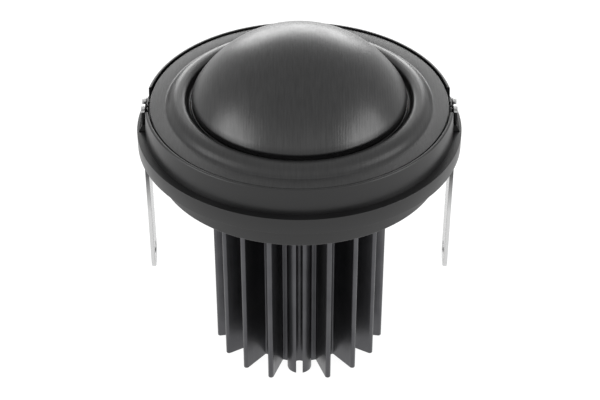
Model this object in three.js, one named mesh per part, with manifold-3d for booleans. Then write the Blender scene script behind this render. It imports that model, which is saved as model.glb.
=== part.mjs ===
// A soft-dome car tweeter with a finned heat sink, in millimetres, +Z up towards the dome.
// The origin is on the axis, at the bottom of the heat sink. The terminals stand at +X and -X.
import * as THREE from 'three';
import { mergeVertices } from 'three/addons/utils/BufferGeometryUtils.js';
import Module from 'manifold-3d';

const wasm = await Module();
wasm.setup();

// Housing.
const LEDGE_Z = 34.8; // top of the mounting flange
const FLANGE_R = 21;
const FLANGE_T = 2.1;
const FLANGE_UNDER = LEDGE_Z - FLANGE_T;
const SKIRT_R = 18.7; // body below the flange
const BODY_Z = 29.1; // underside of the body
const COLLAR_R = 19.95; // collar at the ledge
const COLLAR_TOP_R = 19.8;
const COLLAR_TOP_Z = LEDGE_Z + 3.5;
const WALL_INNER_R = 19.45; // recess that holds the diaphragm
const SHELF_Z = LEDGE_Z + 1.5; // floor of that recess
const BORE_R = 17.1; // bore of the housing around the yoke
const EDGE = 0.15; // broken lower edge
const RIM_EDGE = 0.25; // broken outer edge of the collar's rim
const NOTCH_W = 5.9; // gap in the collar at each terminal
const NOTCH_Z = SHELF_Z + 0.15;
const SLOT_X = [19.4, 20.65]; // opening in the flange for an insulator
const SLOT_HALF = 2.3;
const FIT = 0.03; // clearance round the insulators

// Diaphragm.
const COIL_R = 13.95; // outside of the voice coil former, for a 28 mm coil
const FORMER_T = 0.2;
const FORMER_Z = [34.5, 38.3];
const COIL_GAP = 0.02; // between former and winding
const COIL_T = 0.38;
const COIL_Z = [34.6, 37];
const CLOTH_T = 0.3;
const DOME_SPHERE_R = 15.8;
const DOME_CENTRE_Z = 31.68;
const DOME_RIM = [ // [radius, height] from the dome's sphere down to the skirt inside the former
  [13.7, 39.42], [13.78, 39.2], [13.8, 39], [13.7, 38.8], [13.7, 38],
];
const DOME_SPHERE_END_R = 13.55;
const DOME_INNER_R = 13.4;
const SURROUND_R = 19.2;
const SURROUND_Z = 38.15; // top of the surround's flat edge
const ROLL_T = 0.24;
const ROLL = [ // radius, and height above the flat edge, from the outer foot of the roll inwards
  [17.25, 0], [17.1, 0.05], [16.95, 0.16], [16.8, 0.31], [16.65, 0.47], [16.5, 0.62], [16.35, 0.74],
  [16.15, 0.86], [15.9, 0.96], [15.65, 1.02], [15.4, 1.04], [15.15, 1.04], [14.92, 1], [14.74, 0.92],
  [14.6, 0.8], [14.49, 0.62], [14.4, 0.38], [14.3, 0.16], [14.17, 0.02],
];
const RING_R = [17.3, 19.25]; // ring under the surround's edge
const LEAD_SLOT_HALF = 0.45;
const LEAD_SLOT_Z = SHELF_Z + 0.65;

// Motor.
const YOKE_R = 17;
const YOKE_FLOOR_Z = BODY_Z + 2;
const YOKE_WALL_R = 14.7; // outer side of the magnetic gap
const POLE_R = 13.2;
const POLE_Z = LEDGE_Z; // underside of the pole plate
const POLE_TOP_Z = POLE_Z + 2;
const MAGNET_R = 12.8;
const VENT_R = 3.5;
const CAP_T = 0.15; // copper cap on the pole plate
const CAP_R = POLE_R + 0.05 + CAP_T;
const FELT_R = 9;
const FELT_T = 1.5;

// Heat sink.
const SINK_H = 28.8;
const FIN_TIP_R = 11.74;
const FIN_T = 0.77;
const CORE_R = 7.7;
const CHAMBER_R = 5; // rear chamber bored through the core
const POSITIONS = 18; // fins and screw bosses round the core
const BOSS_R = 1.65;
const BOSS_AT = 8.47; // radius of the screw bosses' centres
const CHANNEL_R = 0.9;
const CHANNEL_SLOT = 0.88;
const PAD_R = 11;
const SCREW_HOLE_R = 1.1;
const SCREW_HEAD_R = 1.5;
const SCREW_HEAD_T = 1;
const SCREW_SINK = 0.1; // head below the yoke's floor
const SHANK_R = 0.75;
const SCREW_END_Z = 22.6;
const COUNTERBORE_R = 1.8;
const COUNTERBORE_H = 1.2;
const CHAMBER_FELT_Z = [4.2, 26];
const PLUG_Z = [0.6, 3.6];
const PLUG_CHAMFER = 0.5;

// Terminals.
const TAB_X = [19.78, 20.28]; // inner and outer face of the strip
const TAB_HALF = 1.8;
const TAB_Z = [11.3, 32.2];
const TAB_HOLE_R = 0.95;
const TAB_HOLE_Z = TAB_Z[0] + 2.9;
const NECK_HALF = 1.35; // where the strip passes through the flange
const NECK_TOP_Z = 36.9;
const NECK_THINNING = 0.05; // at each face of the neck
const HEAD_HALF = 1.88; // shoulder on top of the insulator's ribs
const HEAD_Z = [37.48, 37.6];
const FORK_HALF = 1.4;
const FORK_SLOT_HALF = 0.35;
const FORK_Z = [37, 37.82]; // bottom of the fork's slot, and the tips
const RIB_X = [19.86, 20.21];
const RIB_GAP = 0.1; // between rib and neck
const FOOT_X = 19.8;
const FOOT_BASE = [20.63, 2.13]; // outer x and y of a foot on the ledge
const FOOT_TOP = [20.21, 1.9];
const FOOT_H = 0.8;
const BEAD_Z = FORK_Z[0] + 0.22;
const WIRE_R = 0.15;
const WIRE_ROUTE = [
  [14.35, 37.4], [14.7, 37.5], [15.2, 38], [15.7, 38.3], [16.15, 37.95], [16.6, 37.45],
  [17.3, 37.3], [18.3, 37.3], [19.3, 37.3], [19.7, 37.3],
];
const BEAD_SIZE = [0.3, 0.33, 0.2]; // half sizes of a solder joint

const SEGMENTS = 48;
const SIDES = [['left', -1], ['right', 1]];
const PLACES = [['front', -1], ['rear', 1]];

// Materials.
const finish = (color, roughness, metalness = 0) =>
  new THREE.MeshStandardMaterial({ color, roughness, metalness });
const blackPlastic = () => finish(0x1c1c1d, 0.45);
const blackAnodised = () => finish(0x18181a, 0.4, 0.6);
const blackSteel = () => finish(0x2a2a2c, 0.35, 0.8);
const coatedCloth = () => finish(0x222224, 0.5);
const film = () => finish(0x2b2622, 0.4);
const steel = () => finish(0x8d9094, 0.35, 1);
const tin = () => finish(0xcfd0d2, 0.25, 1);
const copper = () => finish(0xb87352, 0.35, 1);
const felt = () => finish(0x55565a, 0.95);
const rubber = () => finish(0x101010, 0.8);
const pad = () => finish(0x9a9ca0, 0.9);

const model = new THREE.Group();

function add(name, geometry, material) {
  const mesh = new THREE.Mesh(geometry, material);
  mesh.name = name;
  model.add(mesh);
}

// Turned solid from [radius, height] points. The outline starts and ends on the axis, or is closed here.
function turned(points, segments = SEGMENTS) {
  const outline = points.map(([r, z]) => new THREE.Vector2(r, z));
  const onAxis = points[0][0] === 0 && points.at(-1)[0] === 0;
  if (!onAxis) outline.push(outline[0].clone());
  return new THREE.LatheGeometry(outline, segments).rotateX(Math.PI / 2);
}

// Tube with a square-cut wall, or a disc where the inner radius is 0.
function ring(inner, outer, low, high, segments = SEGMENTS) {
  return turned([[inner, low], [outer, low], [outer, high], [inner, high]], segments);
}

function block([x0, x1], [y0, y1], [z0, z1]) {
  const box = new THREE.BoxGeometry(x1 - x0, y1 - y0, z1 - z0);
  return box.translate((x0 + x1) / 2, (y0 + y1) / 2, (z0 + z1) / 2);
}

function solid(geometry) {
  const plain = geometry.clone();
  plain.deleteAttribute('normal');
  plain.deleteAttribute('uv');
  const merged = mergeVertices(plain, 1e-5);
  return new wasm.Manifold(new wasm.Mesh({
    numProp: 3,
    vertProperties: new Float32Array(merged.attributes.position.array),
    triVerts: new Uint32Array(merged.index.array),
  }));
}

function fromSolid(manifold) {
  const { vertProperties, triVerts } = manifold.getMesh();
  const geometry = new THREE.BufferGeometry();
  geometry.setAttribute('position', new THREE.BufferAttribute(vertProperties, 3));
  geometry.setIndex(new THREE.BufferAttribute(triVerts, 1));
  geometry.computeVertexNormals();
  return geometry;
}

const cut = (body, tools) =>
  fromSolid(tools.reduce((left, tool) => left.subtract(solid(tool)), solid(body)));
const join = (first, ...rest) =>
  fromSolid(rest.reduce((sum, piece) => sum.add(solid(piece)), solid(first)));

// Turns a piece made at +X to the side of sign -1 or 1.
const toSide = (geometry, sign) => (sign < 0 ? geometry.rotateZ(Math.PI) : geometry);

// [radius, height] points along an arc of the dome's sphere, in a vertical plane, out to a radius.
function capArc(sphereR, toR, steps) {
  const end = Math.asin(toR / sphereR);
  return Array.from({ length: steps + 1 }, (_, i) => {
    const angle = (end * i) / steps;
    return [sphereR * Math.sin(angle), DOME_CENTRE_Z + sphereR * Math.cos(angle)];
  });
}

// Housing: skirt, mounting flange and collar in one moulding, open at each terminal.
function frontHousing() {
  const body = turned([
    [BORE_R, BODY_Z],
    [SKIRT_R - EDGE, BODY_Z],
    [SKIRT_R, BODY_Z + EDGE],
    [SKIRT_R, FLANGE_UNDER],
    [FLANGE_R, FLANGE_UNDER],
    [FLANGE_R, LEDGE_Z],
    [COLLAR_R, LEDGE_Z],
    [COLLAR_TOP_R, COLLAR_TOP_Z - RIM_EDGE],
    [COLLAR_TOP_R - RIM_EDGE, COLLAR_TOP_Z],
    [WALL_INNER_R, COLLAR_TOP_Z],
    [WALL_INNER_R, SHELF_Z],
    [BORE_R, SHELF_Z],
  ]);
  const openings = SIDES.flatMap(([, sign]) => [
    block([SURROUND_R, FLANGE_R + 1], [-NOTCH_W / 2, NOTCH_W / 2], [NOTCH_Z, COLLAR_TOP_Z + 1]),
    block(SLOT_X, [-SLOT_HALF, SLOT_HALF], [FLANGE_UNDER - 1, COLLAR_TOP_Z]),
  ].map((tool) => toSide(tool, sign)));
  return cut(body, openings);
}

// Ring that the surround's flat edge is glued to, with a slot at each side for the lead wire.
function diaphragmRing() {
  const top = SURROUND_Z - CLOTH_T;
  const slots = SIDES.map(([, sign]) =>
    toSide(block([16, 20], [-LEAD_SLOT_HALF, LEAD_SLOT_HALF], [LEAD_SLOT_Z, top + 1]), sign));
  return cut(ring(...RING_R, SHELF_Z, top), slots);
}

// Line at a distance to the left of another one; below it, where that one runs inwards.
function besideLine(points, distance) {
  return points.map(([r, z], i) => {
    const [r0, z0] = points[Math.max(i - 1, 0)];
    const [r1, z1] = points[Math.min(i + 1, points.length - 1)];
    const scale = distance / Math.hypot(r1 - r0, z1 - z0);
    return [r - scale * (z1 - z0), z + scale * (r1 - r0)];
  });
}

// Flat edge, broad low roll, and an inner foot bonded to the former.
function surround() {
  const upper = ROLL.map(([r, up]) => [r, SURROUND_Z + up]);
  const bond = COIL_R + 0.07;
  return turned([
    [SURROUND_R, SURROUND_Z],
    ...upper,
    [bond, SURROUND_Z],
    [bond, SURROUND_Z - 0.3],
    ...besideLine(upper, ROLL_T).reverse(),
    [RING_R[0], SURROUND_Z - CLOTH_T],
    [SURROUND_R, SURROUND_Z - CLOTH_T],
  ]);
}

function dome() {
  return turned([
    ...capArc(DOME_SPHERE_R - CLOTH_T, DOME_INNER_R, 10),
    [DOME_INNER_R, DOME_RIM.at(-1)[1]],
    ...DOME_RIM.toReversed(),
    ...capArc(DOME_SPHERE_R, DOME_SPHERE_END_R, 12).reverse(),
  ]);
}

// Steel cup: a floor with a vent and two counterbored screw holes, and the wall round the gap.
function yoke() {
  const chamfer = 0.4;
  const cup = turned([
    [VENT_R, BODY_Z], [YOKE_R - chamfer, BODY_Z], [YOKE_R, BODY_Z + chamfer], [YOKE_R, POLE_TOP_Z],
    [YOKE_WALL_R, POLE_TOP_Z], [YOKE_WALL_R, YOKE_FLOOR_Z], [VENT_R, YOKE_FLOOR_Z],
  ]);
  const holes = PLACES.flatMap(([, side]) => [
    ring(0, SCREW_HOLE_R, BODY_Z - 1, YOKE_FLOOR_Z + 1, 16),
    ring(0, COUNTERBORE_R, YOKE_FLOOR_Z - COUNTERBORE_H, YOKE_FLOOR_Z + 1, 16),
  ].map((tool) => tool.translate(0, side * BOSS_AT, 0)));
  return cut(cup, holes);
}

function copperCap() {
  return turned([
    [VENT_R, POLE_TOP_Z], [CAP_R - CAP_T, POLE_TOP_Z], [CAP_R - CAP_T, POLE_Z], [CAP_R, POLE_Z],
    [CAP_R, POLE_TOP_Z + CAP_T], [VENT_R, POLE_TOP_Z + CAP_T],
  ]);
}

function heatsinkScrew(side) {
  const top = YOKE_FLOOR_Z - SCREW_SINK;
  const head = top - SCREW_HEAD_T;
  const screw = turned([
    [0, SCREW_END_Z], [SHANK_R / 2, SCREW_END_Z + 0.6], [SHANK_R, SCREW_END_Z + 1], [SHANK_R, head],
    [SCREW_HEAD_R, head], [SCREW_HEAD_R, top], [0.7, top], [0.5, top - 0.4], [0, top - 0.4],
  ], 16);
  return screw.translate(0, side * BOSS_AT, 0);
}

function thermalPad() {
  const holes = PLACES.map(([, side]) =>
    ring(0, SCREW_HOLE_R, SINK_H - 1, BODY_Z + 1, 16).translate(0, side * BOSS_AT, 0));
  return cut(ring(CHAMBER_R + 0.2, PAD_R, SINK_H, BODY_Z), holes);
}

function chamberPlug() {
  const [low, high] = PLUG_Z;
  const outer = CHAMBER_R - 0.1;
  return turned([
    [0, low], [outer - PLUG_CHAMFER, low], [outer, low + PLUG_CHAMFER], [outer, high], [0, high],
  ]);
}

// Point at a distance out along a position's own line, and across it.
function polar(angle, out, across) {
  return new THREE.Vector2(
    out * Math.cos(angle) - across * Math.sin(angle),
    out * Math.sin(angle) + across * Math.cos(angle),
  );
}

// Arc about a centre on the position's line, as outline points; angles in radians from that line.
function arc(angle, centreOut, radius, from, to, steps) {
  return Array.from({ length: steps + 1 }, (_, i) => {
    const turn = from + ((to - from) * i) / steps;
    return polar(angle, centreOut + radius * Math.cos(turn), radius * Math.sin(turn));
  });
}

// Fin with parallel sides and a round tip.
function finOutline(angle) {
  const half = FIN_T / 2;
  const root = Math.sqrt(CORE_R ** 2 - half ** 2);
  return [
    polar(angle, root, -half),
    ...arc(angle, FIN_TIP_R - half, half, -Math.PI / 2, Math.PI / 2, 6),
    polar(angle, root, half),
  ];
}

// C-shaped boss with a round screw channel that opens outwards through a slot.
function bossOutline(angle) {
  const meet = (BOSS_AT ** 2 + CORE_R ** 2 - BOSS_R ** 2) / (2 * BOSS_AT);
  const across = Math.sqrt(CORE_R ** 2 - meet ** 2);
  const foot = Math.atan2(across, meet - BOSS_AT);
  const lip = Math.asin(CHANNEL_SLOT / 2 / BOSS_R);
  const mouth = Math.asin(CHANNEL_SLOT / 2 / CHANNEL_R);
  return [
    ...arc(angle, BOSS_AT, BOSS_R, -foot, -lip, 6),
    ...arc(angle, BOSS_AT, CHANNEL_R, -mouth, mouth - 2 * Math.PI, 10),
    ...arc(angle, BOSS_AT, BOSS_R, lip, foot, 6),
  ];
}

// Extruded profile: the core, sixteen fins and two screw bosses, at the front and the back.
function heatsink() {
  const outline = [];
  const step = (2 * Math.PI) / POSITIONS;
  for (let i = 0; i < POSITIONS; i += 1) {
    const angle = -Math.PI / 2 + i * step;
    const isBoss = i % (POSITIONS / 2) === 0;
    outline.push(...(isBoss ? bossOutline(angle) : finOutline(angle)));
    outline.push(polar(angle + step / 2, CORE_R, 0));
  }
  const shape = new THREE.Shape(outline);
  shape.holes.push(new THREE.Path().absarc(0, 0, CHAMBER_R, 0, 2 * Math.PI, true));
  return new THREE.ExtrudeGeometry(shape, { depth: SINK_H, bevelEnabled: false, curveSegments: 16 });
}

// One half of the strip's outline, as [y, z] from its rounded lower end up to the fork's slot.
function terminalHalf() {
  const steps = 8;
  const end = Array.from({ length: steps + 1 }, (_, i) => {
    const angle = ((i / steps) * Math.PI) / 2;
    return [TAB_HALF * Math.sin(angle), TAB_Z[0] + TAB_HALF * (1 - Math.cos(angle))];
  });
  return [
    ...end,
    [TAB_HALF, TAB_Z[1]], [NECK_HALF, TAB_Z[1]],
    [NECK_HALF, HEAD_Z[0]], [HEAD_HALF, HEAD_Z[0]], [HEAD_HALF, HEAD_Z[1]],
    [FORK_HALF, HEAD_Z[1]], [FORK_HALF, FORK_Z[1]],
    [FORK_SLOT_HALF, FORK_Z[1]], [FORK_SLOT_HALF, FORK_Z[0]],
  ];
}

// Flat strip: a tab with a hole, a neck through the flange, a shoulder and a fork for the lead wire.
function terminal(sign) {
  const right = terminalHalf();
  const left = right.slice(1).reverse().map(([y, z]) => [-y, z]);
  const shape = new THREE.Shape([...right, ...left].map(([y, z]) => new THREE.Vector2(y, z)));
  shape.holes.push(new THREE.Path().absarc(0, TAB_HOLE_Z, TAB_HOLE_R, 0, 2 * Math.PI, true));
  const strip = new THREE.ExtrudeGeometry(shape, {
    depth: TAB_X[1] - TAB_X[0], bevelEnabled: false, curveSegments: 10,
  });
  strip.rotateX(Math.PI / 2).rotateZ(Math.PI / 2).translate(TAB_X[0], 0, 0);
  const thinned = [
    [TAB_X[0] - 1, TAB_X[0] + NECK_THINNING],
    [TAB_X[1] - NECK_THINNING, TAB_X[1] + 1],
  ].map((x) => block(x, [-TAB_HALF, TAB_HALF], [TAB_Z[1], NECK_TOP_Z]));
  return toSide(cut(strip, thinned), sign);
}

// Foot that slopes from the ledge up to a rib, on the side way of the neck.
function insulatorFoot(way) {
  const near = NECK_HALF + RIB_GAP;
  const level = ([x, y], z) =>
    [[FOOT_X, near], [x, near], [x, y], [FOOT_X, y]].map(([a, b]) => [a, way * b, z]);
  const base = LEDGE_Z + 0.02;
  return fromSolid(wasm.Manifold.hull([...level(FOOT_BASE, base), ...level(FOOT_TOP, base + FOOT_H)]));
}

// Bushing in the flange, with a rib on a sloping foot at each edge of the neck.
function terminalInsulator(sign) {
  const reach = SLOT_HALF - FIT;
  const across = [SLOT_X[0] + FIT, SLOT_X[1] - FIT];
  const opening = NECK_HALF + RIB_GAP / 2;
  const bushing = cut(block(across, [-reach, reach], [FLANGE_UNDER - 0.2, LEDGE_Z + 0.2]), [
    block(TAB_X, [-opening, opening], [FLANGE_UNDER - 1, LEDGE_Z + 1]),
  ]);
  const ribs = [-1, 1].flatMap((way) => {
    const y = [way * (NECK_HALF + RIB_GAP), way * HEAD_HALF].sort((a, b) => a - b);
    return [block(RIB_X, y, [LEDGE_Z, HEAD_Z[0] - 0.02]), insulatorFoot(way)];
  });
  return toSide(join(bushing, ...ribs), sign);
}

// Flexible lead from the coil, through the slot in the ring, to the terminal's fork.
function leadWire(sign) {
  const sides = 8;
  const section = new THREE.Shape(Array.from({ length: sides }, (_, i) => {
    const angle = (2 * Math.PI * i) / sides;
    return new THREE.Vector2(WIRE_R * Math.cos(angle), WIRE_R * Math.sin(angle));
  }));
  const route = WIRE_ROUTE.map(([x, z]) => new THREE.Vector3(x, 0, z));
  const wire = new THREE.ExtrudeGeometry(section, {
    steps: 24, extrudePath: new THREE.CatmullRomCurve3(route), bevelEnabled: false,
  });
  return toSide(wire, sign);
}

function solderJoint(sign) {
  const bead = new THREE.SphereGeometry(1, 12, 8);
  bead.scale(...BEAD_SIZE).translate((TAB_X[0] + TAB_X[1]) / 2, 0, BEAD_Z);
  return toSide(bead, sign);
}

add('front_housing', frontHousing(), blackPlastic());
add('diaphragm_ring', diaphragmRing(), blackPlastic());
add('surround', surround(), coatedCloth());
add('dome', dome(), coatedCloth());
add('coil_former', ring(COIL_R - FORMER_T, COIL_R, ...FORMER_Z), film());
add('voice_coil', ring(COIL_R + COIL_GAP, COIL_R + COIL_GAP + COIL_T, ...COIL_Z), copper());
add('copper_cap', copperCap(), copper());
add('pole_plate', ring(VENT_R, POLE_R, POLE_Z, POLE_TOP_Z), steel());
add('magnet', ring(VENT_R + 0.5, MAGNET_R, YOKE_FLOOR_Z, POLE_Z), tin());
add('yoke', yoke(), blackSteel());
add('pole_felt', ring(0, FELT_R, POLE_TOP_Z + CAP_T, POLE_TOP_Z + CAP_T + FELT_T), felt());
add('chamber_felt', ring(0, CHAMBER_R - 0.3, ...CHAMBER_FELT_Z), felt());
add('chamber_plug', chamberPlug(), rubber());
add('thermal_pad', thermalPad(), pad());
add('heatsink', heatsink(), blackAnodised());
for (const [place, side] of PLACES) {
  add(`heatsink_screw_${place}`, heatsinkScrew(side), blackSteel());
}
for (const [side, sign] of SIDES) {
  add(`terminal_${side}`, terminal(sign), tin());
  add(`terminal_insulator_${side}`, terminalInsulator(sign), blackPlastic());
  add(`lead_wire_${side}`, leadWire(sign), rubber());
  add(`solder_joint_${side}`, solderJoint(sign), tin());
}

export default model;
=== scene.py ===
"""Looks of the car tweeter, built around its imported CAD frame. Lengths are in millimetres up to
piece(), which puts them in metres. +Z is the axis, the terminals stand at -X and +X."""
import math

import bpy
import numpy as np
from mathutils import Matrix, Vector
from mathutils.geometry import tessellate_polygon


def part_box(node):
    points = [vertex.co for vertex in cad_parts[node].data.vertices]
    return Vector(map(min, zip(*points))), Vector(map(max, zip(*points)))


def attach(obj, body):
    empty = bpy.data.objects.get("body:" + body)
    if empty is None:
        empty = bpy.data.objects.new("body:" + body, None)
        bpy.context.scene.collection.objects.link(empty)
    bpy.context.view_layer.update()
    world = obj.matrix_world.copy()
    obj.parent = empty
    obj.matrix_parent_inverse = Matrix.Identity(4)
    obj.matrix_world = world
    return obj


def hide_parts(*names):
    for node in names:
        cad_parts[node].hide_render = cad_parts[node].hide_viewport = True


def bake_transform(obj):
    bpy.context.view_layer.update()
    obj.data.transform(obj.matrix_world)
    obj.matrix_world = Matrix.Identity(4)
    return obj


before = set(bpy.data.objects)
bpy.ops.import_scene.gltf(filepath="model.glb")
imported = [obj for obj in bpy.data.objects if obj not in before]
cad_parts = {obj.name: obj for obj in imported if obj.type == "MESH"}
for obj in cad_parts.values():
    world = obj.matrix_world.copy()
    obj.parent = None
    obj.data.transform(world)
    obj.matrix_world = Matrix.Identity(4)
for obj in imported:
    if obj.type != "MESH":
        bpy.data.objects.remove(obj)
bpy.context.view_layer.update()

MM = 0.001
SIDES = (("left", -1), ("right", 1))
FIXED, MOVING = "frame", "diaphragm"


def box_mm(node):
    """Lowest and highest corner of a CAD node, in millimetres."""
    low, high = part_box(node)
    return low / MM, high / MM


# Sizes that the frame gives.
HOUSING_LOW, HOUSING_HIGH = box_mm("front_housing")
FLANGE_R = HOUSING_HIGH.x
BODY_Z, COLLAR_TOP_Z = HOUSING_LOW.z, HOUSING_HIGH.z
RING_LOW, RING_HIGH = box_mm("diaphragm_ring")
SHELF_Z = RING_LOW.z
SURROUND_R = box_mm("surround")[1].x
FORMER_LOW, FORMER_HIGH = box_mm("coil_former")
FORMER_R = FORMER_HIGH.x
COIL_LOW, COIL_HIGH = box_mm("voice_coil")
DOME_LOW, DOME_HIGH = box_mm("dome")
SINK_TOP = box_mm("heatsink")[1].z
YOKE_HIGH = box_mm("yoke")[1]
CAP_LOW, CAP_HIGH = box_mm("copper_cap")
MAGNET_LOW, MAGNET_HIGH = box_mm("magnet")
YOKE_FLOOR_Z = MAGNET_LOW.z
POLE_LOW, POLE_HIGH = box_mm("pole_plate")
STRIP_LOW, STRIP_HIGH = box_mm("terminal_right")
TAB_X = (STRIP_LOW.x, STRIP_HIGH.x)
TAB_END_Z, FORK_TOP_Z = STRIP_LOW.z, STRIP_HIGH.z

# Sizes that the frame's boxes don't give, as the part was designed: housing,
LEDGE_Z = 34.8
FLANGE_T = 2.1
FLANGE_UNDER = LEDGE_Z - FLANGE_T
SKIRT_R = 18.7
COLLAR_R = 19.95
COLLAR_TOP_R = 19.8
WALL_INNER_R = 19.45
BORE_R = YOKE_HIGH.x + 0.1
NOTCH_W = 5.9
NOTCH_Z = SHELF_Z + 0.15
SLOT_X = (19.4, 20.65)
SLOT_HALF = 2.3
# diaphragm,
CLOTH_T = 0.3
ROLL_T = 0.24
SURROUND_Z = RING_HIGH.z + CLOTH_T
EDGE_INNER_R = 17.6
BOND_R = FORMER_R + 0.07
RING_INNER_R = 17.3
LEAD_SLOT_HALF = 0.45
LEAD_SLOT_Z = SHELF_Z + 0.65
DOME_SPHERE_R = 15.8
DOME_SPHERE_END_R = 13.55
DOME_INNER_R = 13.4
FORMER_T = 0.2
COIL_GAP = 0.02
# motor and heat sink,
VENT_R = 3.5
YOKE_WALL_R = 14.7
CAP_T = 0.15
SCREW_HOLE_R = 1.1
COUNTERBORE_R = 1.8
COUNTERBORE_H = 1.2
SHANK_R = 0.75
SCREW_HEAD_T = 1.0
FIN_TIP_R = 11.74
FIN_T = 0.77
FIN_ROOT_RADIUS = 0.2
CORE_R = 7.7
CHAMBER_R = 5.0
POSITIONS = 18
BOSS_R = 1.65
BOSS_AT = 8.47
CHANNEL_R = 0.9
CHANNEL_SLOT = 0.88
# and terminals.
TAB_HALF = 1.8
TAB_TOP_Z = 32.2
TAB_HOLE_R = 0.95
TAB_HOLE_Z = TAB_END_Z + 2.9
NECK_HALF = 1.35
NECK_TOP_Z = 36.9
NECK_THINNING = 0.05
SHOULDER_HALF = 1.88
SHOULDER_Z = (37.48, 37.6)
FORK_HALF = 1.4
FORK_SLOT = 0.7
FORK_FLOOR_Z = 37.0
RIB_X = (19.86, 20.21)
RIB_GAP = 0.1
FOOT_X = (19.8, 20.63)
FOOT_SPREAD = 0.25
FOOT_H = 0.8
BUSHING_FIT = 0.008

LATHE_STEPS = 216


# ---------------------------------------------------------------- mesh making

def piece(name, points, faces, sharp=35):
    """Mesh object from points in millimetres, shaded smooth but for edges above the sharp angle."""
    mesh = bpy.data.meshes.new(name)
    mesh.from_pydata((np.asarray(points, float) * MM).tolist(), [], faces)
    mesh.validate()
    mesh.shade_smooth()
    mesh.set_sharp_from_angle(angle=math.radians(sharp))
    obj = bpy.data.objects.new(name, mesh)
    bpy.context.scene.collection.objects.link(obj)
    return obj


def arc(centre, radius, start, end, steps):
    """Points along an arc, with its angles in degrees."""
    angles = np.radians(np.linspace(start, end, steps + 1))
    return [(centre[0] + radius * math.cos(a), centre[1] + radius * math.sin(a)) for a in angles]


def rounded(corners, closed=True, steps=5):
    """Outline with each (a, b, radius) corner turned into an arc; a plain (a, b) corner stays sharp."""
    out = []
    count = len(corners)
    for i, corner in enumerate(corners):
        here = np.array(corner[:2], float)
        radius = corner[2] if len(corner) > 2 else 0
        if radius == 0 or (not closed and i in (0, count - 1)):
            out.append(tuple(here))
            continue
        back = np.array(corners[i - 1][:2], float) - here
        ahead = np.array(corners[(i + 1) % count][:2], float) - here
        reach_back, reach_ahead = np.linalg.norm(back), np.linalg.norm(ahead)
        back, ahead = back / reach_back, ahead / reach_ahead
        half = math.acos(max(-1.0, min(1.0, float(back @ ahead)))) / 2
        length = min(radius / math.tan(half), 0.49 * reach_back, 0.49 * reach_ahead)
        start, end = here + back * length, here + ahead * length
        middle = (back + ahead) / np.linalg.norm(back + ahead)
        centre = here + middle * length / math.cos(half)
        first, last = start - centre, end - centre
        turn = math.atan2(first[0] * last[1] - first[1] * last[0], float(first @ last))
        for a in np.linspace(0, turn, steps + 1):
            c, s = math.cos(a), math.sin(a)
            out.append((centre[0] + c * first[0] - s * first[1],
                        centre[1] + s * first[0] + c * first[1]))
    return out


def turned(name, outline, steps=LATHE_STEPS, sharp=35):
    """Solid of revolution from a closed (radius, height) outline, anticlockwise with the radius to the
    right. An outline may start and end on the axis."""
    points, rows = [], []
    for radius, height in outline:
        if radius < 1e-6:
            rows.append([len(points)] * steps)
            points.append((0, 0, height))
            continue
        rows.append(list(range(len(points), len(points) + steps)))
        for k in range(steps):
            a = 2 * math.pi * k / steps
            points.append((radius * math.cos(a), radius * math.sin(a), height))
    faces = []
    count = len(rows)
    for i in range(count):
        low, high = rows[i], rows[(i + 1) % count]
        for k in range(steps):
            n = (k + 1) % steps
            corners = list(dict.fromkeys((low[k], low[n], high[n], high[k])))
            if len(corners) > 2:
                faces.append(corners)
    return piece(name, points, faces, sharp)


def inset(loop, amount):
    """The loop moved towards its own left side, which is inwards on an anticlockwise outline."""
    p = np.asarray(loop, float)
    ahead = np.roll(p, -1, 0) - p
    ahead /= np.maximum(np.linalg.norm(ahead, axis=1, keepdims=True), 1e-9)
    back = np.roll(ahead, 1, 0)
    side = np.stack([-ahead[:, 1] - back[:, 1], ahead[:, 0] + back[:, 0]], 1)
    side /= np.maximum(np.linalg.norm(side, axis=1, keepdims=True), 1e-9)
    lean = np.maximum(side[:, 0] * -ahead[:, 1] + side[:, 1] * ahead[:, 0], 0.5)
    return p + side * (amount / lean)[:, None]


def prism(name, loops, low, high, edge, along=lambda u, v, w: (u, v, w)):
    """Straight solid between two heights, with its end edges rounded off. The first loop is the outline,
    anticlockwise, and the others are holes, clockwise. along places each (u, v, w) point."""
    steps = 3
    levels = []
    for k in range(steps + 1):
        a = math.pi / 2 * k / steps
        levels.append((edge * (1 - math.sin(a)), low + edge * (1 - math.cos(a))))
    levels += [(amount, low + high - height) for amount, height in reversed(levels)]
    points, faces, ends = [], [], ([], [])
    for loop in loops:
        count = len(loop)
        base = len(points)
        for amount, height in levels:
            points += [along(u, v, height) for u, v in inset(loop, amount)]
        for row in range(len(levels) - 1):
            for k in range(count):
                n = (k + 1) % count
                a, b = base + row * count, base + (row + 1) * count
                faces.append((a + k, a + n, b + n, b + k))
        ends[0].append(list(range(base, base + count)))
        ends[1].append(list(range(base + (len(levels) - 1) * count, base + len(levels) * count)))
    for end, rings in enumerate(ends):
        amount = levels[0][0]
        flat = [[Vector((*uv, 0)) for uv in inset(loop, amount)] for loop in loops]
        indices = [i for ring in rings for i in ring]
        for tri in tessellate_polygon(flat):
            corners = [indices[i] for i in tri]
            u, v, w = (sum(flat, [])[i] for i in tri)
            upward = (v - u).cross(w - u).z > 0
            faces.append(corners if upward == (end == 1) else corners[::-1])
    return piece(name, points, faces)


def combined(obj, others, operation):
    """Applies the others to obj with a boolean operation, and deletes them."""
    for other in others:
        modifier = obj.modifiers.new(operation.lower(), "BOOLEAN")
        modifier.object = other
        modifier.operation = operation
        modifier.solver = "EXACT"
    graph = bpy.context.evaluated_depsgraph_get()
    obj.data = bpy.data.meshes.new_from_object(obj.evaluated_get(graph))
    obj.modifiers.clear()
    obj.data.shade_smooth()
    obj.data.set_sharp_from_angle(angle=math.radians(35))
    for other in others:
        bpy.data.objects.remove(other)
    return obj


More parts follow.
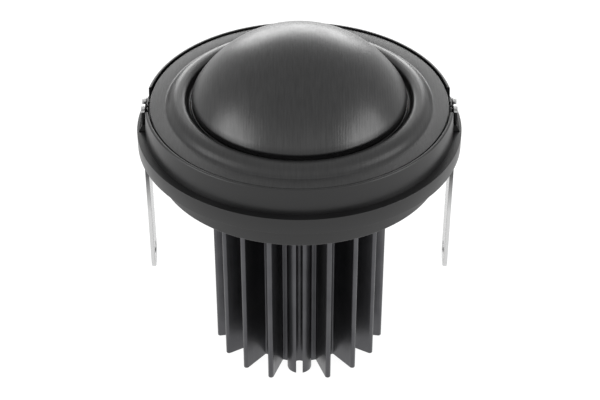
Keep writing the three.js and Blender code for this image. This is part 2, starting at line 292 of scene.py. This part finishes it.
def cut(obj, *cutters):
    """Takes the cutters away from obj."""
    return combined(obj, cutters, "DIFFERENCE")


def merge(obj, *others):
    """Joins the others to obj as one solid."""
    return combined(obj, others, "UNION")


def block(name, x, y, z, edge=0.0):
    """Box between the given limits, with its edges along Z rounded by edge."""
    corners = [(x[0], y[0], edge), (x[1], y[0], edge), (x[1], y[1], edge), (x[0], y[1], edge)]
    return prism(name, [rounded(corners, steps=3) if edge else [c[:2] for c in corners]], *z, edge)


def mirrored(obj, sign):
    """Turns a piece made at +X half round the axis when sign is -1."""
    if sign < 0:
        co = np.array([v.co for v in obj.data.vertices], float)
        co[:, :2] *= -1
        obj.data.vertices.foreach_set("co", co.astype(np.float32).ravel())
        obj.data.update()
    return obj


# ---------------------------------------------------------------- materials

class Finish:
    """A node material with one Principled shader, and short ways to add noise and relief to it."""

    def __init__(self, name, colour, roughness, metallic=0.0, **sockets):
        self.material = bpy.data.materials.new(name)
        self.material.use_nodes = True
        self.tree = self.material.node_tree
        self.shader = self.tree.nodes["Principled BSDF"]
        self.shader.inputs["Base Color"].default_value = (*colour, 1)
        self.shader.inputs["Roughness"].default_value = roughness
        self.shader.inputs["Metallic"].default_value = metallic
        for socket, value in sockets.items():
            self.shader.inputs[socket.replace("_", " ")].default_value = value
        self.place = self.node("ShaderNodeTexCoord").outputs["Object"]

    def node(self, kind, **values):
        """New node, with each value set on the socket or else the property of that name."""
        made = self.tree.nodes.new(kind)
        for key, value in values.items():
            if key in made.inputs:
                made.inputs[key].default_value = value
            else:
                setattr(made, key, value)
        return made

    def link(self, source, target):
        """Wire from one node's output to another's input."""
        self.tree.links.new(source, target)

    def stretched(self, scale):
        """Object coordinates scaled by (x, y, z)."""
        mapping = self.node("ShaderNodeMapping")
        mapping.inputs["Scale"].default_value = scale
        self.link(self.place, mapping.inputs["Vector"])
        return mapping.outputs["Vector"]

    def noise(self, per_mm, detail=3.0, scale=(1, 1, 1), roughness=0.5):
        """Noise with about per_mm blobs to a millimetre."""
        made = self.node("ShaderNodeTexNoise", Scale=per_mm / MM, Detail=detail, Roughness=roughness)
        self.link(self.stretched(scale), made.inputs["Vector"])
        return made.outputs["Fac"]

    def ranged(self, value, low, high, start=0.3, end=0.7):
        """The value's range from start to end, stretched to run from low to high."""
        made = self.node("ShaderNodeMapRange")
        limits = {"From Min": start, "From Max": end, "To Min": low, "To Max": high}
        for key, number in limits.items():
            made.inputs[key].default_value = number
        self.link(value, made.inputs["Value"])
        return made.outputs["Result"]

    def tinted(self, value, dark, light, start=0.3, end=0.7):
        """Colour between dark and light by a value."""
        made = self.node("ShaderNodeValToRGB")
        made.color_ramp.elements[0].color = (*dark, 1)
        made.color_ramp.elements[1].color = (*light, 1)
        made.color_ramp.elements[0].position = start
        made.color_ramp.elements[1].position = end
        self.link(value, made.inputs["Fac"])
        self.link(made.outputs["Color"], self.shader.inputs["Base Color"])

    def rough(self, value, low, high):
        """Roughness between low and high by a value."""
        self.link(self.ranged(value, low, high), self.shader.inputs["Roughness"])

    def relief(self, value, depth, strength=1.0):
        """Bump of a depth in millimetres, added to the bumps made before."""
        made = self.node("ShaderNodeBump", Strength=strength, Distance=depth * MM)
        self.link(value, made.inputs["Height"])
        before = self.shader.inputs["Normal"]
        if before.is_linked:
            self.link(before.links[0].from_socket, made.inputs["Normal"])
        self.link(made.outputs["Normal"], before)

    def maths(self, operation, a, b=None):
        """Math node on one or two values, each a number or another node's output."""
        made = self.node("ShaderNodeMath", operation=operation)
        for i, value in enumerate(v for v in (a, b) if v is not None):
            if isinstance(value, (int, float)):
                made.inputs[i].default_value = value
            else:
                self.link(value, made.inputs[i])
        return made.outputs[0]


def moulded_plastic():
    """Satin black moulded plastic with a faint spark-eroded grain."""
    finish = Finish("moulded_plastic", (0.0035, 0.0035, 0.0037), 0.36, Specular_IOR_Level=0.45)
    finish.rough(finish.noise(0.25), 0.33, 0.4)
    finish.relief(finish.noise(9.0, detail=2.0), depth=0.004, strength=0.5)
    return finish.material


def coated_cloth(name):
    """Plain-woven cloth under a rubbery damping coat: the threads along Y show through as faint streaks."""
    finish = Finish(name, (0.005, 0.005, 0.0053), 0.38)
    split = finish.node("ShaderNodeSeparateXYZ")
    finish.link(finish.place, split.inputs["Vector"])
    thread_pitch = 0.34
    turns = 2 * math.pi / (thread_pitch * MM)
    drift = finish.maths("MULTIPLY", finish.noise(0.5, detail=1.0), 5.0)
    waves = []
    for axis, count in (("X", 1.0), ("Y", 1.07)):
        phase = finish.maths("MULTIPLY", split.outputs[axis], turns * count)
        waves.append(finish.maths("SINE", finish.maths("ADD", phase, drift)))
    weave = finish.maths("ADD", waves[0], finish.maths("MULTIPLY", waves[1], 0.1))
    uneven = finish.maths("MULTIPLY", weave, finish.ranged(finish.noise(0.7), 0.3, 1.0))
    finish.relief(uneven, depth=0.005, strength=0.4)
    streaks = finish.noise(4.2, detail=3.0, scale=(1, 0.14, 0.03))
    finish.relief(streaks, depth=0.03, strength=0.26)
    finish.relief(finish.noise(5.0, detail=3.0), depth=0.01, strength=0.35)
    finish.rough(finish.noise(0.35, detail=5.0), 0.31, 0.38)
    finish.link(finish.ranged(streaks, 0.45, 0.55), finish.shader.inputs["Specular IOR Level"])
    finish.tinted(finish.noise(0.2), (0.0045, 0.0045, 0.0047), (0.006, 0.006, 0.0062))
    return finish.material


def anodised():
    """Black anodised extrusion: fine draw lines along its length."""
    finish = Finish("anodised", (0.085, 0.085, 0.09), 0.34, 1.0)
    lines = finish.noise(6.0, detail=4.0, scale=(1, 1, 0.02))
    finish.relief(lines, depth=0.008, strength=0.5)
    finish.rough(lines, 0.3, 0.4)
    finish.tinted(finish.noise(0.3), (0.075, 0.075, 0.08), (0.095, 0.095, 0.1))
    return finish.material


def metal(name, colour, roughness, grain=4.0, depth=0.004):
    """Bare or plated metal with a fine grain."""
    finish = Finish(name, colour, roughness, 1.0)
    speck = finish.noise(grain, detail=4.0)
    finish.relief(speck, depth, strength=0.6)
    finish.rough(speck, roughness * 0.8, roughness * 1.25)
    shade = tuple(0.9 * c for c in colour)
    finish.tinted(finish.noise(0.6), shade, colour)
    return finish.material


def tinned_strip():
    """Tin-plated brass. Its sheared edges carry painted shade from the housing: darkest within 3.5 mm of 31
    mm high, just under the flange, and fading out by 9.5 mm away.
    """
    finish = Finish("tin_plate", (0.6, 0.6, 0.6), 0.25, 1.0)
    lines = finish.noise(5.0, detail=4.0, scale=(1, 1, 0.08))
    finish.relief(lines, depth=0.006, strength=0.6)
    finish.rough(lines, 0.2, 0.32)
    facing = finish.node("ShaderNodeSeparateXYZ")
    finish.link(finish.node("ShaderNodeNewGeometry").outputs["True Normal"], facing.inputs["Vector"])
    place = finish.node("ShaderNodeSeparateXYZ")
    finish.link(finish.place, place.inputs["Vector"])
    # Painted shade: the edge faces, whose normal runs along Y, go from dark near the flange to a little
    # lighter than the broad faces further down; the broad faces keep one level.
    edge = finish.maths("ABSOLUTE", facing.outputs["Y"])
    middle, near, far, face_level = 31 * MM, 3.5 * MM, 9.5 * MM, 0.76
    away = finish.maths("ABSOLUTE", finish.maths("SUBTRACT", place.outputs["Z"], middle))
    flange_shade = finish.ranged(away, -face_level, 1 - face_level, near, far)
    level = finish.maths("ADD", finish.maths("MULTIPLY", edge, flange_shade), face_level)
    finish.tinted(level, (0.1, 0.1, 0.1), (0.56, 0.56, 0.56), 0, 1)
    return finish.material


def wool_felt():
    """Grey felt: matted fibres, patchy in colour."""
    finish = Finish("wool_felt", (0.13, 0.13, 0.14), 0.95, Sheen_Weight=0.4)
    finish.relief(finish.noise(2.5, detail=8.0, roughness=0.75), depth=0.35, strength=0.9)
    finish.tinted(finish.noise(1.2, detail=6.0), (0.08, 0.08, 0.085), (0.19, 0.19, 0.2))
    return finish.material


def rubbery(name, colour, roughness):
    """Matt rubber or pad with a soft bloom."""
    finish = Finish(name, colour, roughness)
    finish.relief(finish.noise(5.0, detail=3.0), depth=0.01, strength=0.5)
    finish.tinted(finish.noise(0.4, detail=4.0), tuple(0.8 * c for c in colour), colour)
    return finish.material


def moulded_insulation():
    """Glossier black moulding than the housing."""
    finish = Finish("insulation", (0.002, 0.002, 0.002), 0.2, Specular_IOR_Level=0.15)
    finish.rough(finish.noise(2.0), 0.16, 0.26)
    return finish.material


def former_film():
    """Black polyimide film."""
    finish = Finish("former_film", (0.004, 0.004, 0.0042), 0.4)
    finish.relief(finish.noise(4.0), depth=0.003, strength=0.5)
    finish.rough(finish.noise(1.0), 0.36, 0.46)
    return finish.material


# ---------------------------------------------------------------- pieces

def finish_piece(obj, node, body, material):
    """Gives a piece its material and its body, and hides the CAD node it stands for."""
    obj.data.materials.clear()
    obj.data.materials.append(material)
    if body is not None:
        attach(obj, body)
    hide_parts(node)


def housing():
    """Skirt, mounting flange and collar, with an opening at each terminal."""
    outline = rounded([
        (BORE_R, BODY_Z, 0.15), (SKIRT_R, BODY_Z, 0.15), (SKIRT_R, FLANGE_UNDER),
        (FLANGE_R, FLANGE_UNDER, 0.02), (FLANGE_R, LEDGE_Z, 0.03), (COLLAR_R, LEDGE_Z),
        (COLLAR_TOP_R, COLLAR_TOP_Z, 0.25), (WALL_INNER_R, COLLAR_TOP_Z, 0.05),
        (WALL_INNER_R, SHELF_Z, 0.05), (BORE_R, SHELF_Z, 0.1),
    ])
    notch_x, notch_y = (SURROUND_R, FLANGE_R + 1), (-NOTCH_W / 2, NOTCH_W / 2)
    cutters = []
    for _, sign in SIDES:
        notch = block("notch", notch_x, notch_y, (NOTCH_Z, COLLAR_TOP_Z + 1))
        slot = block("slot", SLOT_X, (-SLOT_HALF, SLOT_HALF), (FLANGE_UNDER - 1, COLLAR_TOP_Z))
        cutters += [mirrored(notch, sign), mirrored(slot, sign)]
    return cut(turned("housing", outline), *cutters)


def diaphragm_ring():
    """Ring under the surround's edge, with a slot for each lead."""
    outline = rounded([
        (RING_INNER_R, RING_LOW.z, 0.1), (RING_HIGH.x, RING_LOW.z, 0.1),
        (RING_HIGH.x, RING_HIGH.z, 0.08), (RING_INNER_R, RING_HIGH.z, 0.15),
    ])
    x, y = (RING_INNER_R - 1, RING_HIGH.x + 1), (-LEAD_SLOT_HALF, LEAD_SLOT_HALF)
    slots = [mirrored(block("slot", x, y, (LEAD_SLOT_Z, RING_HIGH.z + 1)), sign) for _, sign in SIDES]
    return cut(turned("diaphragm_ring_moulding", outline), *slots)


def smooth_through(points, per_span):
    """Catmull-Rom curve through the points."""
    p = np.array([points[0], *points, points[-1]], float)
    out = []
    for i in range(1, len(p) - 2):
        for t in np.arange(per_span) / per_span:
            a, b, c, d = p[i - 1:i + 3]
            out.append(tuple(0.5 * (2 * b + (c - a) * t + (2 * a - 5 * b + 4 * c - d) * t ** 2
                                    + (3 * b - a - 3 * c + d) * t ** 3)))
    out.append(tuple(p[-1]))
    return out


# Outer face of the surround's roll: radius, and height above the flat edge, from its outer foot inwards.
ROLL = [
    (17.5, 0), (17.25, 0), (17.1, 0.05), (16.95, 0.16), (16.8, 0.31), (16.65, 0.47), (16.5, 0.62),
    (16.35, 0.74), (16.15, 0.86), (15.9, 0.96), (15.65, 1.02), (15.4, 1.04), (15.15, 1.04), (14.92, 1),
    (14.74, 0.92), (14.6, 0.8), (14.49, 0.62), (14.4, 0.38), (14.3, 0.16), (14.17, 0.02),
]


def cloth_back(points, thickness):
    """The line a cloth's thickness to the right of another, which is its underside."""
    p = np.asarray(points, float)
    ahead = np.gradient(p, axis=0)
    ahead /= np.linalg.norm(ahead, axis=1, keepdims=True)
    return [tuple(q) for q in p + thickness * np.stack([-ahead[:, 1], ahead[:, 0]], 1)]


def surround():
    """Flat edge, rolled cloth and the foot that is bonded to the former."""
    roll = smooth_through([(radius, SURROUND_Z + up) for radius, up in ROLL], 5)
    below = SURROUND_Z - CLOTH_T
    foot = [(BOND_R, SURROUND_Z), (BOND_R, below)]
    edge = rounded([
        (EDGE_INNER_R, below), (SURROUND_R, below, 0.1), (SURROUND_R, SURROUND_Z, 0.1),
        (EDGE_INNER_R, SURROUND_Z),
    ], closed=False)
    obj = turned("surround_cloth", [*edge, *roll, *foot, *reversed(cloth_back(roll, ROLL_T))], sharp=60)
    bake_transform(obj)
    return obj


# The dome's rim: radius and height, from the skirt inside the former up to the sphere.
DOME_RIM = [(13.7, 38.6), (13.7, 38.8), (13.8, 39), (13.78, 39.2), (13.7, 39.42)]


def dome():
    """Spherical cap that turns down at its rim to a skirt inside the former."""
    centre = (0, DOME_HIGH.z - DOME_SPHERE_R)
    inner_r = DOME_SPHERE_R - CLOTH_T
    outer_stop = math.degrees(math.acos(DOME_SPHERE_END_R / DOME_SPHERE_R))
    inner_stop = math.degrees(math.acos(DOME_INNER_R / inner_r))
    outside = arc(centre, DOME_SPHERE_R, outer_stop, 90, 56)
    inside = arc(centre, inner_r, 90, inner_stop, 28)
    skirt = [(DOME_INNER_R, DOME_LOW.z), (DOME_RIM[0][0], DOME_LOW.z)]
    rim = smooth_through(DOME_RIM, 4)
    return turned("dome_cloth", [*outside, *inside, *skirt, *rim], sharp=60)


def coil_former():
    """Tube that carries the winding, bonded round the dome's skirt."""
    return turned("former_tube", rounded([
        (FORMER_R - FORMER_T, FORMER_LOW.z, 0.03), (FORMER_R, FORMER_LOW.z, 0.03),
        (FORMER_R, FORMER_HIGH.z, 0.05), (FORMER_R - FORMER_T, FORMER_HIGH.z, 0.05),
    ], steps=3))


def voice_coil():
    """Winding of round wire: its outer face is a row of turns."""
    wire = 0.12
    count = int((COIL_HIGH.z - COIL_LOW.z) / wire)
    step = (COIL_HIGH.z - COIL_LOW.z) / count
    inner = FORMER_R + COIL_GAP
    outline = [(inner, COIL_HIGH.z), (inner, COIL_LOW.z)]
    for k in range(count):
        middle = COIL_LOW.z + (k + 0.5) * step
        outline += arc((COIL_HIGH.x - step / 2, middle), step / 2, -85, 85, 4)
    return turned("coil_winding", outline, sharp=80)


def heatsink_outline():
    """Core with its fins and two screw bosses, anticlockwise."""
    root = math.sqrt(CORE_R ** 2 - (FIN_T / 2) ** 2)
    meet = (BOSS_AT ** 2 + CORE_R ** 2 - BOSS_R ** 2) / (2 * BOSS_AT)
    across = math.sqrt(CORE_R ** 2 - meet ** 2)
    boss_foot = math.degrees(math.atan2(across, meet - BOSS_AT))
    lip = math.degrees(math.asin(CHANNEL_SLOT / 2 / BOSS_R))
    mouth = math.degrees(math.asin(CHANNEL_SLOT / 2 / CHANNEL_R))
    half = FIN_T / 2
    fin = [
        (root, -half, FIN_ROOT_RADIUS),
        *arc((FIN_TIP_R - half, 0), half, -90, 90, 10),
        (root, half, FIN_ROOT_RADIUS),
    ]
    boss = [
        *arc((BOSS_AT, 0), BOSS_R, -boss_foot, -lip, 14),
        *arc((BOSS_AT, 0), CHANNEL_R, -mouth, mouth - 360, 22),
        *arc((BOSS_AT, 0), BOSS_R, lip, boss_foot, 14),
    ]
    fin_reach = math.degrees(math.asin(half / CORE_R))
    boss_reach = math.degrees(math.atan2(across, meet))
    half_round = [(boss, boss_reach)] + [(fin, fin_reach)] * (POSITIONS // 2 - 1)
    positions = half_round * 2
    pitch = 360 / POSITIONS
    corners = []
    for i, (local, reach) in enumerate(positions):
        next_reach = positions[(i + 1) % POSITIONS][1]
        angle = -90 + i * pitch
        c, s = math.cos(math.radians(angle)), math.sin(math.radians(angle))
        corners += [(c * p[0] - s * p[1], s * p[0] + c * p[1], *p[2:]) for p in local]
        corners += arc((0, 0), CORE_R, angle + reach, angle + pitch - next_reach, 4)[1:-1]
    return rounded(corners, steps=4)


def heatsink():
    """Extrusion bored through its core for the rear chamber."""
    bore = arc((0, 0), CHAMBER_R, 0, -360, 96)[:-1]
    return prism("heatsink_extrusion", [heatsink_outline(), bore], 0, SINK_TOP, 0.08)


def yoke():
    """Steel cup with a vent and two counterbored screw holes."""
    outline = rounded([
        (VENT_R, BODY_Z, 0.1), (YOKE_HIGH.x, BODY_Z, 0.45), (YOKE_HIGH.x, YOKE_HIGH.z, 0.2),
        (YOKE_WALL_R, YOKE_HIGH.z, 0.15), (YOKE_WALL_R, YOKE_FLOOR_Z, 0.3), (VENT_R, YOKE_FLOOR_Z, 0.1),
    ])
    holes = []
    for side in (-1, 1):
        for radius, low in ((SCREW_HOLE_R, BODY_Z - 1), (COUNTERBORE_R, YOKE_FLOOR_Z - COUNTERBORE_H)):
            circle = arc((0, side * BOSS_AT), radius, 0, 360, 40)[:-1]
            holes.append(prism("hole", [circle], low, YOKE_FLOOR_Z + 1, 0.0))
    return cut(turned("yoke_cup", outline), *holes)


def thermal_pad():
    """Punched sheet between the yoke and the heat sink."""
    low, high = box_mm("thermal_pad")
    loops = [
        arc((0, 0), high.x, 0, 360, 120)[:-1],
        arc((0, 0), CHAMBER_R + 0.2, 0, -360, 80)[:-1],
        *(arc((0, side * BOSS_AT), SCREW_HOLE_R, 0, -360, 32)[:-1] for side in (-1, 1)),
    ]
    return prism("thermal_pad_sheet", loops, low.z, high.z, 0.03)


def screw(node, side):
    """Thread-forming screw with a flat head and a cross recess."""
    low, high = box_mm(node)
    pitch, depth, point = 0.5, 0.14, 0.7
    root = SHANK_R - depth
    neck = high.z - SCREW_HEAD_T
    chamfer = 0.15
    outline = [(0, low.z), (0.3, low.z + 0.3)]
    height = low.z + point
    while height + pitch < neck - 0.4:
        outline += [(root, height), (SHANK_R, height + pitch / 2)]
        height += pitch
    outline += [
        (root, height), (root, neck), (high.x, neck), (high.x, high.z - chamfer),
        (high.x - chamfer, high.z), (0, high.z),
    ]
    obj = turned(f"{node}_turned", outline, steps=48)
    length, width, recess = (-0.8, 0.8), (-0.16, 0.16), (high.z - 0.5, high.z + 0.5)
    cut(obj, *(block("arm", x, y, recess) for x, y in ((length, width), (width, length))))
    obj.data.transform(Matrix.Translation((0, side * BOSS_AT * MM, 0)))
    return obj


def terminal(side, sign):
    """Flat strip: round-ended tab with a hole, neck through the flange, shouldered fork at the top."""
    onto_x = lambda u, v, w: (w, u, v)
    tab = [
        (TAB_HALF, TAB_TOP_Z), (-TAB_HALF, TAB_TOP_Z),
        *arc((0, TAB_END_Z + TAB_HALF), TAB_HALF, 180, 360, 32),
    ]
    hole = arc((0, TAB_HOLE_Z), TAB_HOLE_R, 0, -360, 40)[:-1]
    blade = prism("blade", [tab, hole], *TAB_X, 0.04, onto_x)
    slot = FORK_SLOT / 2
    head = rounded([
        (-NECK_HALF, TAB_TOP_Z - 0.3), (NECK_HALF, TAB_TOP_Z - 0.3), (NECK_HALF, SHOULDER_Z[0], 0.05),
        (SHOULDER_HALF, SHOULDER_Z[0], 0.02), (SHOULDER_HALF, SHOULDER_Z[1], 0.04),
        (FORK_HALF, SHOULDER_Z[1]), (FORK_HALF, FORK_TOP_Z, 0.1),
        (slot, FORK_TOP_Z, 0.1), (slot, FORK_FLOOR_Z, 0.3),
        (-slot, FORK_FLOOR_Z, 0.3), (-slot, FORK_TOP_Z, 0.1), (-FORK_HALF, FORK_TOP_Z, 0.1),
        (-FORK_HALF, SHOULDER_Z[1]), (-SHOULDER_HALF, SHOULDER_Z[1], 0.04),
        (-SHOULDER_HALF, SHOULDER_Z[0], 0.02), (-NECK_HALF, SHOULDER_Z[0], 0.05),
    ], steps=3)
    merge(blade, prism("head", [head], *TAB_X, 0.04, onto_x))
    faces = ((TAB_X[0] - 1, TAB_X[0] + NECK_THINNING), (TAB_X[1] - NECK_THINNING, TAB_X[1] + 1))
    cut(blade, *(block("thinning", x, (-TAB_HALF, TAB_HALF), (TAB_TOP_Z, NECK_TOP_Z)) for x in faces))
    blade.name = f"terminal_{side}_blade"
    return mirrored(blade, sign)


def insulator(side, sign):
    """Bushing in the flange, with a rib on a sloping foot at each edge of the terminal's neck."""
    reach = SLOT_HALF - BUSHING_FIT
    bushing_x = (SLOT_X[0] + BUSHING_FIT, SLOT_X[1] - BUSHING_FIT)
    on_ledge = LEDGE_Z + 0.02
    bushing = block("bushing", bushing_x, (-reach, reach), (FLANGE_UNDER - 0.2, on_ledge), 0.02)
    opening = NECK_HALF + RIB_GAP / 2
    cut(bushing, block("opening", TAB_X, (-opening, opening), (FLANGE_UNDER - 1, COLLAR_TOP_Z)))
    parts = []
    for way in (-1, 1):
        near, far = way * (NECK_HALF + RIB_GAP), way * SHOULDER_HALF
        rib_z = (LEDGE_Z, SHOULDER_Z[0] - 0.02)
        parts.append(block("rib", RIB_X, sorted((near, far)), rib_z, 0.02))
        wide, narrow = far + way * FOOT_SPREAD, far + way * 0.02
        low = [(FOOT_X[0], near), (FOOT_X[1], near), (FOOT_X[1], wide), (FOOT_X[0], wide)]
        high = [(FOOT_X[0], near), (RIB_X[1], near), (RIB_X[1], narrow), (FOOT_X[0], narrow)]
        points = [(x, y, on_ledge) for x, y in low] + [(x, y, LEDGE_Z + FOOT_H) for x, y in high]
        walls = [(i, (i + 1) % 4, (i + 1) % 4 + 4, i + 4) for i in range(4)]
        faces = [(3, 2, 1, 0), (4, 5, 6, 7), *walls]
        if way < 0:
            faces = [face[::-1] for face in faces]
        parts.append(piece("foot", points, faces))
    merge(bushing, *parts)
    bushing.name = f"insulator_{side}"
    return mirrored(bushing, sign)


# The lead's route from the coil to the terminal's fork, at +X, as the part was designed.
LEAD_ROUTE = [
    (14.35, 37.4), (14.7, 37.5), (15.2, 38), (15.7, 38.3), (16.15, 37.95), (16.6, 37.45),
    (17.3, 37.3), (18.3, 37.3), (19.3, 37.3), (19.7, 37.3),
]


def lead(side, sign):
    """Tinsel lead: strands twisted round each other, bent through the slot in the ring."""
    route = smooth_through(LEAD_ROUTE, 8)
    strands, strand_r, lay_r, lay_length, sides = 5, 0.055, 0.085, 1.3, 8
    p = np.array([(x, 0, z) for x, z in route])
    ahead = np.gradient(p, axis=0)
    ahead /= np.linalg.norm(ahead, axis=1, keepdims=True)
    across = np.array([0.0, 1.0, 0.0])
    up = np.cross(ahead, across)
    run = np.r_[0, np.cumsum(np.linalg.norm(np.diff(p, axis=0), axis=1))]
    points, faces = [], []
    for strand in range(strands):
        base = len(points)
        for i in range(len(p)):
            a = 2 * math.pi * (strand / strands + run[i] / lay_length)
            centre = p[i] + lay_r * (math.cos(a) * across + math.sin(a) * up[i])
            for k in range(sides):
                b = 2 * math.pi * k / sides
                points.append(centre + strand_r * (math.cos(b) * across + math.sin(b) * up[i]))
        for i in range(len(p) - 1):
            for k in range(sides):
                n = (k + 1) % sides
                a, b = base + i * sides, base + (i + 1) * sides
                faces.append((a + k, b + k, b + n, a + n))
        faces.append([base + k for k in range(sides)])
        faces.append([base + (len(p) - 1) * sides + k for k in reversed(range(sides))])
    obj = mirrored(piece(f"lead_{side}", points, faces), sign)
    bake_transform(obj)
    return obj


def solder(side):
    """Bead of solder that fills the bottom of the fork."""
    low, high = box_mm(f"solder_joint_{side}")
    centre, half = (low + high) / 2, (high - low) / 2
    points, faces = [], []
    rings, steps = 16, 28
    lumps, lump_depth = 3, 0.06
    for i in range(rings + 1):
        tilt = math.pi * i / rings
        for k in range(steps):
            a = 2 * math.pi * k / steps
            out = math.sin(tilt)
            point = (out * math.cos(a), out * math.sin(a), math.cos(tilt))
            swell = 1 - lump_depth * math.sin(lumps * a) * out ** 2
            points.append([centre[j] + half[j] * point[j] * swell for j in range(3)])
    for i in range(rings):
        for k in range(steps):
            n = (k + 1) % steps
            a, b = i * steps, (i + 1) * steps
            faces.append((a + k, b + k, b + n, a + n))
    return piece(f"solder_{side}", points, faces, sharp=180)


def felt_disc(node, name):
    """Felt cut from sheet, its edges slightly crushed."""
    low, high = box_mm(node)
    edge = 0.35
    corners = [(0, low.z), (high.x, low.z, edge), (high.x, high.z, edge), (0, high.z)]
    return turned(name, rounded(corners, closed=False), steps=96)


def chamber_plug():
    """Push-in disc with a raised rim round its outer face."""
    low, high = box_mm("chamber_plug")
    face_z = low.z + 0.5
    outline = rounded([
        (0, face_z), (3.2, face_z, 0.2), (3.4, low.z, 0.2), (4.4, low.z, 0.15),
        (high.x, face_z, 0.2), (high.x, high.z, 0.2), (0, high.z),
    ], closed=False)
    return turned("chamber_plug_disc", outline, steps=128)


def plain_ring(name, low, high, inner, edge=0.15):
    """Ring of a square section with broken edges."""
    return turned(name, rounded([
        (inner, low.z, edge), (high.x, low.z, edge), (high.x, high.z, edge), (inner, high.z, edge),
    ]))


def copper_cap():
    """Thin cap over the pole plate's top and side."""
    inner, under = CAP_HIGH.x - CAP_T, CAP_HIGH.z - CAP_T
    return turned("copper_cap_shell", rounded([
        (VENT_R, under), (inner, under), (inner, CAP_LOW.z), (CAP_HIGH.x, CAP_LOW.z),
        (CAP_HIGH.x, CAP_HIGH.z, 0.12), (VENT_R, CAP_HIGH.z),
    ]))


def build():
    """All the pieces with their materials."""
    plastic = moulded_plastic()
    black_steel = metal("black_steel", (0.05, 0.05, 0.052), 0.4)
    tin = tinned_strip()
    insulation = moulded_insulation()
    solder_metal = metal("solder_metal", (0.4, 0.4, 0.41), 0.3, grain=2.0, depth=0.01)
    copper = metal("copper_sheet", (0.8, 0.42, 0.28), 0.3)
    wire = metal("enamelled_wire", (0.62, 0.22, 0.1), 0.3)
    sleeve = rubbery("lead_sleeve", (0.006, 0.006, 0.006), 0.6)
    felt = wool_felt()
    finish_piece(housing(), "front_housing", FIXED, plastic)
    finish_piece(diaphragm_ring(), "diaphragm_ring", FIXED, plastic)
    finish_piece(surround(), "surround", None, coated_cloth("surround_coat"))
    finish_piece(dome(), "dome", MOVING, coated_cloth("dome_coat"))
    finish_piece(coil_former(), "coil_former", MOVING, former_film())
    finish_piece(voice_coil(), "voice_coil", MOVING, wire)
    finish_piece(copper_cap(), "copper_cap", FIXED, copper)
    pole = plain_ring("pole_disc", POLE_LOW, POLE_HIGH, VENT_R)
    finish_piece(pole, "pole_plate", FIXED, metal("zinc_steel", (0.55, 0.55, 0.57), 0.35))
    magnet = plain_ring("magnet_ring", MAGNET_LOW, MAGNET_HIGH, VENT_R + 0.5, 0.25)
    finish_piece(magnet, "magnet", FIXED, metal("nickel", (0.66, 0.64, 0.6), 0.22))
    finish_piece(yoke(), "yoke", FIXED, black_steel)
    finish_piece(felt_disc("pole_felt", "pole_felt_disc"), "pole_felt", FIXED, felt)
    finish_piece(felt_disc("chamber_felt", "chamber_felt_roll"), "chamber_felt", FIXED, felt)
    plug_rubber = rubbery("plug_rubber", (0.015,) * 3, 0.7)
    finish_piece(chamber_plug(), "chamber_plug", FIXED, plug_rubber)
    pad_rubber = rubbery("thermal_pad", (0.3, 0.31, 0.33), 0.85)
    finish_piece(thermal_pad(), "thermal_pad", FIXED, pad_rubber)
    finish_piece(heatsink(), "heatsink", FIXED, anodised())
    for place, side in (("front", -1), ("rear", 1)):
        node = f"heatsink_screw_{place}"
        finish_piece(screw(node, side), node, FIXED, black_steel)
    for side, sign in SIDES:
        finish_piece(terminal(side, sign), f"terminal_{side}", FIXED, tin)
        bushing = insulator(side, sign)
        finish_piece(bushing, f"terminal_insulator_{side}", FIXED, insulation)
        finish_piece(lead(side, sign), f"lead_wire_{side}", None, sleeve)
        finish_piece(solder(side), f"solder_joint_{side}", FIXED, solder_metal)


# ---------------------------------------------------------------- stage

# Brightness of the floor and of the world round it.
BACKDROP = 0.95


def floor():
    """Plain white floor, lit from within so that nothing on it goes grey."""
    half, low = 3000, -0.02
    corners = ((-half, -half, low), (half, -half, low), (half, half, low), (-half, half, low))
    obj = piece("floor", corners, [(0, 1, 2, 3)])
    glow = {"Emission_Color": (1, 1, 1, 1), "Emission_Strength": BACKDROP}
    finish = Finish("floor_paint", (0.15, 0.15, 0.15), 0.9, **glow)
    finish.shader.inputs["Specular IOR Level"].default_value = 0.0
    obj.data.materials.append(finish.material)


def softbox(name, azimuth, elevation, size, power):
    """Oblong area light aimed at the ledge. Azimuth 0 is the front, towards -Y; size is in metres."""
    distance = 0.8
    light = bpy.data.lights.new(name, "AREA")
    light.shape = "RECTANGLE"
    light.size, light.size_y = size
    light.energy = power
    obj = bpy.data.objects.new(name, light)
    a, e = math.radians(azimuth), math.radians(elevation)
    out = Vector((math.sin(a) * math.cos(e), -math.cos(a) * math.cos(e), math.sin(e)))
    aim = Vector((0, 0, LEDGE_Z * MM))
    obj.location = aim + out * distance
    obj.rotation_euler = out.to_track_quat("Z", "Y").to_euler()
    obj.visible_camera = False
    bpy.context.scene.collection.objects.link(obj)


def stage():
    """Floor, white world and four softboxes, set by azimuth, elevation, size and power."""
    floor()
    world = bpy.data.worlds.new("studio")
    world.use_nodes = True
    background = world.node_tree.nodes["Background"]
    background.inputs["Color"].default_value = (1, 1, 1, 1)
    background.inputs["Strength"].default_value = BACKDROP
    bpy.context.scene.world = world
    softbox("left_box", -70, 17, (0.6, 0.4), 4.1)
    softbox("right_box", 70, 17, (0.6, 0.4), 4.1)
    softbox("back_box", 180, 12, (0.7, 0.35), 3.7)
    softbox("front_box", 0, 30, (0.9, 0.35), 0.58)
    bpy.context.scene.view_settings.view_transform = "Standard"


def camera():
    """The photo's viewpoint, from the middle of the ledge: back and above are in flange radii."""
    back, above, tilt = 8.0988, 5.4071, 36.56
    aside = 0.085
    lens = bpy.data.cameras.new("camera")
    lens.sensor_width = 36
    lens.lens = 94.4
    lens.clip_start = 0.005
    obj = bpy.data.objects.new("camera", lens)
    obj.location = Vector((aside, -back * FLANGE_R, LEDGE_Z + above * FLANGE_R)) * MM
    obj.rotation_euler = (math.radians(90 - tilt), 0, 0)
    bpy.context.scene.collection.objects.link(obj)
    bpy.context.scene.camera = obj


camera()
build()
stage()
